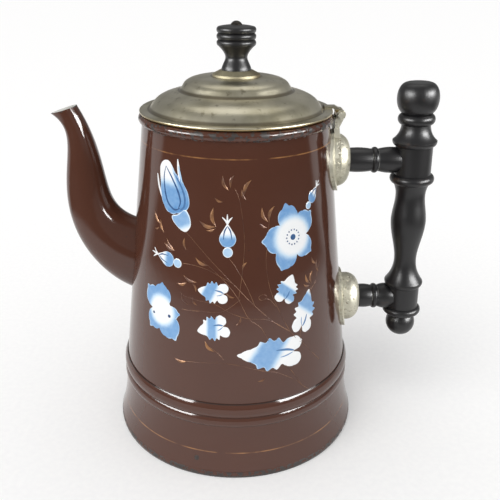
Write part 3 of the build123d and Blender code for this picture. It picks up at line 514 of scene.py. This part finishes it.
def bent_round_wall(tree, geometry):
    """Moves flat geometry on to the tapered wall."""
    point = add(tree, "GeometryNodeInputPosition").outputs[0]
    along, up, out = add(tree, "ShaderNodeSeparateXYZ", {0: point}).outputs
    turn = maths(tree, "DIVIDE", along, FLAT_RADIUS)
    above = maths(tree, "SUBTRACT", up, BAND_HEIGHT)
    wall = maths(tree, "MULTIPLY_ADD", above, -WALL_SLOPE, WALL_FOOT_RADIUS)
    reach = maths(tree, "ADD", wall, out)
    across = maths(tree, "MULTIPLY", reach, maths(tree, "SINE", turn))
    forward = maths(tree, "MULTIPLY", reach, maths(tree, "COSINE", turn))
    level = maths(tree, "MULTIPLY", forward, -1.0)
    bent = add(tree, "ShaderNodeCombineXYZ", {0: across, 1: level, 2: up}).outputs[0]
    return add(tree, "GeometryNodeSetPosition", {"Geometry": geometry, "Position": bent}).outputs[0]


def close_group(tree, geometry, paint, ends):
    """Ends a node group: one mesh, bent round the wall, in its paint."""
    whole = add(tree, "GeometryNodeRealizeInstances", {0: geometry}).outputs[0]
    wrapped = bent_round_wall(tree, whole)
    painted = add(tree, "GeometryNodeSetMaterial", {"Geometry": wrapped, "Material": paint})
    tree.links.new(painted.outputs[0], ends[0])


def worked(source, tree, values):
    """Runs a node group on a source object and keeps the result as a plain mesh object."""
    name = source.name
    modifier = source.modifiers.new(tree.name, "NODES")
    modifier.node_group = tree
    for item in tree.interface.items_tree:
        if item.in_out == "INPUT" and item.name in values:
            modifier[item.identifier] = values[item.name]
    graph = bpy.context.evaluated_depsgraph_get()
    mesh = bpy.data.meshes.new_from_object(source.evaluated_get(graph), depsgraph=graph)
    bpy.data.objects.remove(source)
    mesh.shade_smooth()
    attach(linked(name, mesh), "pot")


def petals_outline(petals, heart, nib=1.5, steps=220):
    """Edge of an open flower. A petal is (direction, length, half breadth) with a nib at its tip."""
    outline = []
    for step in range(steps):
        turn = 2 * pi * step / steps
        edge = heart
        for direction, length, breadth in petals:
            off = (turn - radians(direction) + pi) % (2 * pi) - pi
            middle = length - breadth
            if cos(off) > 0 and abs(middle * sin(off)) < breadth:
                reach = middle * cos(off) + sqrt(breadth ** 2 - (middle * sin(off)) ** 2)
                edge = max(edge, reach + nib * exp(-(off / 0.075) ** 2))
        outline.append((edge * cos(turn), edge * sin(turn)))
    return outline


def open_flower(painting, where, petals, heart):
    """White to the ends of the heart, blue on the petals, and a white rim on the outer ones."""
    def tone(x, y, share):
        out = sqrt(x * x + y * y)
        rim = smooth(0.94, 0.98, share) * smooth(heart * 0.6, heart * 1.1, abs(x))
        return BLUE * smooth(heart * 0.86, heart * 1.40, out) * (1.0 - rim)
    painting.patch(petals_outline(petals, heart), where, tone)


def disc(size, steps=24):
    return [(size * cos(2 * pi * step / steps), size * sin(2 * pi * step / steps))
            for step in range(steps)]


def bud(painting, where, length, width):
    """Closed bud on a round calyx, with three whiskers at its tip and two dark folds."""
    half = width / 2
    side = [(half * 0.60, length * 0.26), (half, length * 0.38), (half * 0.95, length * 0.50),
            (half * 0.56, length * 0.64), (half * 0.16, length * 0.76)]
    outline = mirrored(side, (0.0, length * 0.23), (0.0, length * 0.81))

    def body_tone(x, y, share):
        return BLUE * smooth(0.58, 0.42, y / length) * (1.0 - smooth(0.90, 0.97, share))

    def calyx_tone(x, y, share):
        return PALE * (1.0 - smooth(0.72, 0.95, share))
    painting.patch(outline, where, body_tone)
    calyx = [(x * half * 0.62, length * 0.125 + y * length * 0.125) for x, y in disc(1.0)]
    painting.patch(calyx, where, calyx_tone, SECOND_COAT_LIFT)
    for across, top in ((0.0, 1.0), (-0.62, 0.93), (0.62, 0.93)):
        whisker = [(0.0, length * 0.76), (half * across * 0.35, length * 0.85),
                   (half * across, length * top)]
        painting.stroke(whisker, 1.1, where, WHITE)
    for side_sign in (-1, 1):
        fold = [(0.0, length * 0.73), (half * 0.36 * side_sign, length * 0.60),
                (half * 0.50 * side_sign, length * 0.42)]
        painting.stroke(fold, 0.9, where, DARK, over=True)


def leaf(painting, where, length, width, blue_from, blue_to):
    """Toothed leaf with a split foot. It is blue between two shares of its length, with two dark
    strokes at the foot."""
    side = [(0.10, 0.03), (0.32, 0.0), (0.49, 0.11), (0.46, 0.25), (0.36, 0.33), (0.53, 0.40),
            (0.44, 0.47), (0.55, 0.55), (0.40, 0.60), (0.45, 0.69), (0.29, 0.73), (0.17, 0.87)]
    outline = mirrored([(x * width, y * length) for x, y in side], (0.0, 0.14 * length), (0.0, length))

    def tone(x, y, share):
        up = y / length + 0.25 * x / width
        past_start = smooth(blue_from - 0.08, blue_from + 0.08, up)
        before_end = smooth(blue_to + 0.06, blue_to - 0.06, up)
        return BLUE * 0.95 * past_start * before_end * (1.0 - 0.8 * smooth(0.95, 0.99, share))
    painting.patch(outline, where, tone)
    vein = [(width * 0.03, length * 0.15), (width * 0.10, length * 0.27), (width * 0.12, length * 0.43)]
    painting.stroke(vein, width * 0.10, where, DARK * 0.85, over=True)
    vein = [(-width * 0.02, length * 0.17), (-width * 0.09, length * 0.27), (-width * 0.12, length * 0.36)]
    painting.stroke(vein, width * 0.05, where, DARK * 0.75, over=True)


def tulip(painting, where, length):
    """Large closed tulip in a cup, with a spiked sepal on each side and an oval fold in front."""
    def scaled(shares):
        return [(x * length, y * length) for x, y in shares]

    body = [(-0.02, 0.25), (-0.137, 0.30), (-0.205, 0.43), (-0.205, 0.61), (-0.155, 0.77),
            (-0.125, 0.90), (-0.075, 1.0), (0.03, 1.03), (0.10, 1.02), (0.17, 0.93), (0.195, 0.80),
            (0.268, 0.69), (0.305, 0.52), (0.295, 0.37), (0.245, 0.275), (0.14, 0.235)]
    cup = [(0.02, -0.01), (0.095, -0.016), (0.178, 0.04), (0.207, 0.165), (0.165, 0.28), (0.03, 0.25),
           (-0.09, 0.262), (-0.108, 0.20), (-0.06, 0.09)]

    def body_tone(x, y, share):
        up = y / length
        right = smooth(0.13, 0.19, x / length) * smooth(0.98, 0.76, up)
        front = smooth(0.80, 0.62, up + 0.5 * x / length)
        low = 0.10 * smooth(0.40, 0.28, up)
        return (BLUE * max(right, front) + low) * (1.0 - smooth(0.94, 0.985, share))

    def cup_tone(x, y, share):
        return BLUE * 0.9 * smooth(0.0, 0.10, y / length) * (1.0 - smooth(0.84, 0.96, share))

    painting.patch(rounded(scaled(body), 8), where, body_tone)
    painting.patch(rounded(scaled(cup)), where, cup_tone, SECOND_COAT_LIFT)
    painting.stroke(scaled([(0.225, 0.66), (0.262, 0.80), (0.306, 0.95)]), 2.3, where, WHITE)
    painting.stroke(scaled([(0.262, 0.62), (0.268, 0.74), (0.285, 0.86)]), 1.3, where, PALE, over=True)
    painting.stroke(scaled([(-0.20, 0.56), (-0.205, 0.72), (-0.185, 0.89)]), 1.9, where, WHITE)
    fold = [(0.045, 0.93), (-0.045, 0.80), (-0.095, 0.60), (-0.09, 0.44), (-0.01, 0.325), (0.09, 0.315)]
    painting.stroke(scaled(fold), 1.5, where, DARK, over=True)
    fold = [(0.05, 0.93), (0.105, 0.76), (0.145, 0.56), (0.135, 0.40), (0.06, 0.32)]
    painting.stroke(scaled(fold), 1.6, where, DARK, over=True)
    fold = [(0.165, 0.80), (0.222, 0.62), (0.228, 0.44), (0.17, 0.32), (0.09, 0.29)]
    painting.stroke(scaled(fold), 1.5, where, DARK * 0.9, over=True)


flower_paint, tree, shader = surface("flower_paint", 0.0, 0.2)
tone = add(tree, "ShaderNodeAttribute", attribute_name="tone").outputs["Fac"]
brushed = maths(tree, "MULTIPLY_ADD", noise(tree, 420.0, 5.0), 0.14, -0.07)
mottled = maths(tree, "ADD", tone, maths(tree, "MULTIPLY", brushed, fade(tree, tone, 0.0, 0.3)))
ramp = add(tree, "ShaderNodeValToRGB", {0: mottled})
stops = ramp.color_ramp.elements
for share, colour in SHADE_RAMP[1:-1]:
    stops.new(share)
for stop, (share, colour) in zip(stops, SHADE_RAMP):
    stop.position = share
    stop.color = colour
tree.links.new(ramp.outputs[0], shader.inputs["Base Color"])
relief(tree, shader, noise(tree, 700.0, 3.0), 0.00006)

shapes_tree, given, ends = node_group("painted_shapes", {"Paint": "Material"})
close_group(shapes_tree, given["Geometry"], given["Paint"], ends)

painting = Painting()
tulip(painting, spot(-29.0, 142.0, 25.0), 37.5)
worked(painting.object("tulip"), shapes_tree, {"Paint": flower_paint})

painting = Painting()
bud(painting, spot(-4.3, 130.8, 1.0), 23.0, 9.0)
bud(painting, spot(-28.7, 124.0, 84.0), 22.0, 8.4)
bud(painting, spot(40.5, 152.0, -42.0), 17.5, 6.6)
worked(painting.object("buds"), shapes_tree, {"Paint": flower_paint})

painting = Painting()
open_flower(painting, spot(FLOWER_ANGLE, FLOWER_HEIGHT, 0.0),
            [(103, 18.2, 6.6), (40, 17.2, 6.8), (-41, 16.0, 6.4), (-113, 18.2, 6.8),
             (181, 17.6, 7.8)], 9.6)
painting.patch(disc(1.9), spot(FLOWER_ANGLE, FLOWER_HEIGHT, 0.0), lambda x, y, share: DARK,
               TOP_TOUCH_LIFT)
worked(painting.object("flower"), shapes_tree, {"Paint": flower_paint})

painting = Painting()
side_view = spot(-40.5, 94.6, 0.0)
open_flower(painting, side_view,
            [(92, 15.4, 6.6), (138, 15.8, 6.8), (236, 14.2, 6.2), (-56, 17.2, 7.4),
             (4, 11.4, 4.0)], 7.6)
for across, up, size in ((5.6, -1.8, 1.1), (-5.6, -3.2, 0.9)):
    spotted = side_view @ Matrix.Translation((across, up, 0.0))
    painting.patch(disc(size, 12), spotted, lambda x, y, share: 1.0, TOP_TOUCH_LIFT)
worked(painting.object("half_open_flower"), shapes_tree, {"Paint": flower_paint})

painting = Painting()
leaf(painting, spot(34.0, 73.5, 86.0), 36.0, 18.5, 0.36, 0.76)
leaf(painting, spot(33.0, 83.5, -17.0), 25.0, 13.5, 0.52, 0.90)
leaf(painting, spot(23.5, 103.5, -22.0), 16.5, 12.5, 0.18, 0.56)
leaf(painting, spot(-4.0, 110.8, 86.0), 16.5, 11.8, 0.42, 0.80)
leaf(painting, spot(-4.0, 93.5, 108.0), 17.0, 13.4, 0.36, 0.66)
worked(painting.object("leaves"), shapes_tree, {"Paint": flower_paint})

# Ring of dots round the flower's eye: fourteen touches of the dark blue brush, each a small bead
# pressed flat, set out evenly on a circle.
DOT_RING_RADIUS = 0.0040
DOT_RADIUS = 0.00044
DOT_COUNT = 14
DOT_SQUASH = (1.0, 1.0, 0.5)

dots_tree, given, ends = node_group("eye_dots", {"Count": "Int", "Ring Radius": "Float",
                                                 "Dot Radius": "Float", "Paint": "Material"})
ring = add(dots_tree, "GeometryNodeMeshCircle",
           {"Vertices": given["Count"], "Radius": given["Ring Radius"]})
dot = add(dots_tree, "GeometryNodeMeshUVSphere",
          {"Segments": 10, "Rings": 6, "Radius": given["Dot Radius"]})
on_ring = add(dots_tree, "GeometryNodeInstanceOnPoints",
              {"Points": ring.outputs[0], "Instance": dot.outputs[0], "Scale": DOT_SQUASH})
middle = add(dots_tree, "ShaderNodeCombineXYZ",
             {0: FLAT_RADIUS * radians(FLOWER_ANGLE), 1: FLOWER_HEIGHT * MM, 2: PATCH_LIFT * MM})
moved = add(dots_tree, "GeometryNodeTransform",
            {"Geometry": on_ring.outputs[0], "Translation": middle.outputs[0]})
whole = add(dots_tree, "GeometryNodeRealizeInstances", {0: moved.outputs[0]})
toned = add(dots_tree, "GeometryNodeStoreNamedAttribute",
            {"Geometry": whole.outputs[0], "Name": "tone", "Value": 0.95},
            data_type="FLOAT", domain="POINT")
close_group(dots_tree, toned.outputs[0], given["Paint"], ends)
worked(Painting().object("eye_dots"), dots_tree,
       {"Count": DOT_COUNT, "Ring Radius": DOT_RING_RADIUS, "Dot Radius": DOT_RADIUS,
        "Paint": flower_paint})

# Gold vines: thin stems that spread from the lower right towards the flowers, drawn in the flat by
# angle and height and then bent round the wall. The gold is thin and worn.
STEM_RADIUS = 0.00018
STEM_SUNK = 0.00007
STEM_TAPER = 0.45
STEMS = (
    ((33, 51), (29, 56), (20, 63), (12, 66), (1, 70), (-7, 71), (-18, 70), (-25, 69)),
    ((33, 51), (28, 61), (24, 67), (17, 80), (12, 91), (6, 97), (1, 108), (-5, 117), (-12, 124),
     (-17, 128)),
    ((45, 62), (40, 69), (35, 76), (31, 80), (27, 86), (19, 93), (9, 104), (-2, 117), (-14, 130),
     (-23, 139), (-28, 143)),
    ((9, 104), (5, 115), (0, 125), (-4, 131)),
    ((27, 86), (22, 98), (17, 112), (15, 127), (16, 140), (17, 149)),
    ((27, 86), (16, 95), (6, 97), (-2, 100), (-11, 105), (-20, 106), (-27, 107)),
    ((-2, 117), (-13, 123), (-21, 125), (-28, 125)),
    ((1, 108), (3, 124), (4, 140), (2, 159), (-1, 167)),
    ((20, 102), (16, 107), (12, 107), (11, 109), (13, 110), (15, 109), (14, 107)),
    ((35, 76), (33, 80), (33, 84)),
    ((33, 84), (37, 97), (41, 106), (45, 110), (47, 116), (49, 120)),
    ((37, 97), (41, 108), (43, 116)),
    ((-28, 99), (-18, 100), (-7, 101), (2, 108)),
    ((33, 51), (37, 46.8)),
    ((-13, 80), (-9, 77), (-6, 73)),
)


def gilding(name, bright):
    """Gold over the brown enamel, worn through in places."""
    made, tree, shader = surface(name, 0.25, 0.34)
    left = fade(tree, noise(tree, 150.0, 4.0), 0.30, 0.72)
    kept = maths(tree, "MULTIPLY", left, bright)
    tree.links.new(blend(tree, kept, BROWN, GOLD), shader.inputs["Base Color"])
    return made


stems_tree, given, ends = node_group("gold_stems", {"Stem Radius": "Float", "Paint": "Material"})
curves = add(stems_tree, "GeometryNodeMeshToCurve", {"Mesh": given["Geometry"]}).outputs[0]
tip = add(stems_tree, "GeometryNodeCurvePrimitiveCircle",
          {"Resolution": 6, "Radius": given["Stem Radius"]})
pressure = add(stems_tree, "GeometryNodeInputNamedAttribute", {"Name": "pressure"},
               data_type="FLOAT")
tube = add(stems_tree, "GeometryNodeCurveToMesh",
           {"Curve": curves, "Profile Curve": tip.outputs[0], "Scale": pressure.outputs[0],
            "Fill Caps": True})
close_group(stems_tree, tube.outputs[0], given["Paint"], ends)

points, edges, pressures = [], [], []
for stem in STEMS:
    run = drawn([(FLAT_RADIUS * radians(angle), height * MM) for angle, height in stem], 8)
    edges += [(len(points) + step, len(points) + step + 1) for step in range(len(run) - 1)]
    pressures += [1.0 - STEM_TAPER * step / len(run) for step in range(len(run))]
    points += [(*point, -STEM_SUNK) for point in run]
mesh = bpy.data.meshes.new("vines")
mesh.from_pydata(points, edges, [])
mesh.attributes.new("pressure", "FLOAT", "POINT").data.foreach_set("value", pressures)
worked(linked("vines", mesh), stems_tree,
       {"Stem Radius": STEM_RADIUS, "Paint": gilding("stem_gold", 0.50)})

# Gold leaves on the vines: short curved touches in twos and threes, each given by the angle and
# height of its foot, the way it points from level, and its length in millimetres.
LEAF_SLIMNESS = 0.25
LEAF_BOW = 0.16
LEAF_CREST = 0.028
LEAF_EDGE_FALL = 0.18
LEAF_WANDER = 0.12
LEAF_SEED = 7
GOLD_LEAVES = (
    (-4, 166, 112, 8), (-3, 167, 74, 7), (4, 163, 70, 9), (5, 161, 118, 6), (-7, 160, 150, 5),
    (-10.5, 147, 104, 10), (-10.5, 147, 168, 9.5), (-11, 146, 192, 5),
    (-44, 143, 138, 8), (-45, 141, 196, 4), (-41, 139, 118, 7),
    (-33, 131, 158, 8), (-33, 131, 136, 8), (-26.5, 133, 104, 6),
    (-14, 126, 152, 8), (16.5, 149, 110, 8.5), (17, 149, 64, 8.5), (16, 146, 150, 5),
    (41, 110, 116, 7), (41.5, 110, 84, 7), (40.5, 109, 158, 5), (47.5, 115, 92, 7),
    (-25.5, 115, 202, 6.5), (-22.5, 115, -68, 5), (-20, 116, 160, 8),
    (-24.5, 102.5, 130, 7), (-19.5, 103, 128, 5), (-10.5, 77.5, 124, 7.5), (-24.5, 69, 176, 7),
    (14, 61.5, 196, 4.5), (3, 124, 60, 5), (2, 98, 250, 5), (-1, 109, 148, 5), (46, 120, 128, 6),
)

leaves_tree, given, ends = node_group("gold_leaves", {"Slimness": "Float", "Bow": "Float",
                                                      "Seed": "Int", "Paint": "Material"})
grid = add(leaves_tree, "GeometryNodeMeshGrid",
           {"Size X": 1.0, "Size Y": 1.0, "Vertices X": 11, "Vertices Y": 5})
point = add(leaves_tree, "GeometryNodeInputPosition").outputs[0]
x, y, z = add(leaves_tree, "ShaderNodeSeparateXYZ", {0: point}).outputs
along = maths(leaves_tree, "ADD", x, 0.5)
swell = maths(leaves_tree, "SINE", maths(leaves_tree, "MULTIPLY", along, pi))
broad = maths(leaves_tree, "MULTIPLY", maths(leaves_tree, "ADD", swell, 0.06), given["Slimness"])
offset = maths(leaves_tree, "MULTIPLY", y, broad)
bowed = maths(leaves_tree, "MULTIPLY_ADD", swell, given["Bow"], offset)
off_middle = maths(leaves_tree, "MULTIPLY", y, y)
thick = maths(leaves_tree, "MULTIPLY_ADD", off_middle, -LEAF_EDGE_FALL, LEAF_CREST)
shaped = add(leaves_tree, "ShaderNodeCombineXYZ", {0: along, 1: bowed, 2: thick})
touch = add(leaves_tree, "GeometryNodeSetPosition",
            {"Geometry": grid.outputs[0], "Position": shaped.outputs[0]})
turn = add(leaves_tree, "GeometryNodeInputNamedAttribute", {"Name": "turn"},
           data_type="FLOAT").outputs[0]
length = add(leaves_tree, "GeometryNodeInputNamedAttribute", {"Name": "length"},
             data_type="FLOAT").outputs[0]
unsteady = add(leaves_tree, "FunctionNodeRandomValue",
               {2: -LEAF_WANDER, 3: LEAF_WANDER, "Seed": given["Seed"]},
               data_type="FLOAT").outputs[1]
spin = add(leaves_tree, "ShaderNodeCombineXYZ", {2: maths(leaves_tree, "ADD", turn, unsteady)})
turned = add(leaves_tree, "FunctionNodeEulerToRotation", {0: spin.outputs[0]})
sprigs = add(leaves_tree, "GeometryNodeInstanceOnPoints",
             {"Points": given["Geometry"], "Instance": touch.outputs[0],
              "Rotation": turned.outputs[0], "Scale": length})
close_group(leaves_tree, sprigs.outputs[0], given["Paint"], ends)

feet = [(FLAT_RADIUS * radians(angle), height * MM, 0.0) for angle, height, way, size in GOLD_LEAVES]
mesh = bpy.data.meshes.new("gold_leaves")
mesh.from_pydata(feet, [], [])
mesh.attributes.new("turn", "FLOAT", "POINT").data.foreach_set(
    "value", [radians(way) for angle, height, way, size in GOLD_LEAVES])
mesh.attributes.new("length", "FLOAT", "POINT").data.foreach_set(
    "value", [size * MM for angle, height, way, size in GOLD_LEAVES])
worked(linked("gold_touches", mesh), leaves_tree,
       {"Slimness": LEAF_SLIMNESS, "Bow": LEAF_BOW, "Seed": LEAF_SEED,
        "Paint": gilding("leaf_gold", 0.85)})

# Floor: a white cloth that runs back without an edge. Shiny things see it white near the pot and
# behind it, and dark where the room is, in front and at the sides.
CLOTH = (0.94, 0.94, 0.94, 1.0)
CLOTH_HOLLOWS = (0.915, 0.915, 0.92, 1.0)
DARK_ROOM = (0.05, 0.045, 0.04, 1.0)
TABLE_REACH = 0.50
TABLE_BLUR = 0.16
BACK_FROM = 0.04
BACK_FULL = 0.20
FLOOR_REACH = 20.0

cloth, tree, shader = surface("cloth", 0.0, 0.9)
ray = add(tree, "ShaderNodeLightPath").outputs["Is Glossy Ray"]
weave = blend(tree, fade(tree, noise(tree, 300.0, 4.0), 0.3, 0.7), CLOTH_HOLLOWS, CLOTH)
x, y, z = place(tree)
near = fade(tree, radius(tree, x, y), TABLE_REACH, TABLE_REACH - TABLE_BLUR)
white_there = maths(tree, "MAXIMUM", near, fade(tree, y, BACK_FROM, BACK_FULL))
reflected = blend(tree, white_there, DARK_ROOM, CLOTH)
tree.links.new(blend(tree, ray, weave, reflected), shader.inputs["Base Color"])
shader.inputs["Specular IOR Level"].default_value = 0.1
mesh = bpy.data.meshes.new("floor")
mesh.from_pydata([(x * FLOOR_REACH, y * FLOOR_REACH, 0.0)
                  for x, y in ((-1, -1), (1, -1), (1, 1), (-1, 1))], [], [(0, 1, 2, 3)])
mesh.materials.append(cloth)
linked("floor", mesh)

# Light: an even white room, a very soft sun for the form, and two wide windows in front and a pale
# ceiling that show only as reflections.
ROOM_LIGHT = 0.78
ROOM_SEEN = 0.98
ROOM_REFLECTED = 0.30
SUN_SPREAD = radians(50.0)
WINDOW_SIZE = (1.3, 0.5)
CEILING_SIZE = (1.2, 0.8)

world = bpy.data.worlds.new("room")
bpy.context.scene.world = world
world.use_nodes = True
tree = world.node_tree
path = add(tree, "ShaderNodeLightPath").outputs
level = maths(tree, "MULTIPLY_ADD", path["Is Glossy Ray"], ROOM_REFLECTED - ROOM_LIGHT, ROOM_LIGHT)
level = maths(tree, "MAXIMUM", level, maths(tree, "MULTIPLY", path["Is Camera Ray"], ROOM_SEEN))
tree.nodes["Background"].inputs["Color"].default_value = (1.0, 1.0, 1.0, 1.0)
tree.links.new(level, tree.nodes["Background"].inputs["Strength"])


def lamp(name, kind, spot_at, aim, energy, colour=(1.0, 1.0, 1.0), size=(0.0, 0.0),
         shows="reflection"):
    """A light aimed at a point. It shows either as a reflection or as light on surfaces."""
    data = bpy.data.lights.new(name, kind)
    data.energy = energy
    data.color = colour
    if kind == "AREA":
        data.shape = "RECTANGLE"
        data.size, data.size_y = size
    made = linked(name, data)
    made.location = spot_at
    made.rotation_euler = (Vector(aim) - Vector(spot_at)).to_track_quat("-Z", "Y").to_euler()
    made.visible_diffuse = shows != "reflection"
    made.visible_glossy = shows == "reflection"
    made.visible_camera = False
    return made


sun = lamp("sun", "SUN", (-0.7, -0.9, 1.6), (0.0, 0.0, 0.1), 1.25, (1.0, 0.99, 0.97), shows="light")
sun.data.angle = SUN_SPREAD
lamp("window_left", "AREA", (-1.41, -0.75, 0.74), (0.0, 0.0, 0.12), 44.0, size=WINDOW_SIZE)
lamp("window_right", "AREA", (1.41, -0.75, 0.74), (0.0, 0.0, 0.12), 58.0, size=WINDOW_SIZE)
lamp("ceiling", "AREA", (0.0, 0.30, 1.30), (0.0, 0.0, 0.2), 3.0, (1.0, 0.99, 0.96), CEILING_SIZE)

# Camera: as in the photograph, in front and a little above, looking down on the lid.
FOCAL_LENGTH = 46.64
SENSOR_WIDTH = 36.0
YAW, PITCH, ROLL = 1.47, 23.30, 0.58
EYE = (-0.0009, -0.3643, 0.2667)

camera_data = bpy.data.cameras.new("camera")
camera_data.lens = FOCAL_LENGTH
camera_data.sensor_width = SENSOR_WIDTH
camera_data.clip_start = 0.01
camera_data.clip_end = 100.0
camera = linked("camera", camera_data)
camera.matrix_world = (Matrix.Translation(EYE) @ Matrix.Rotation(-radians(YAW), 4, "Z")
                       @ Matrix.Rotation(radians(90.0 - PITCH), 4, "X")
                       @ Matrix.Rotation(radians(ROLL), 4, "Z"))
bpy.context.scene.camera = camera
bpy.context.scene.view_settings.view_transform = "Standard"

bpy.context.view_layer.update()
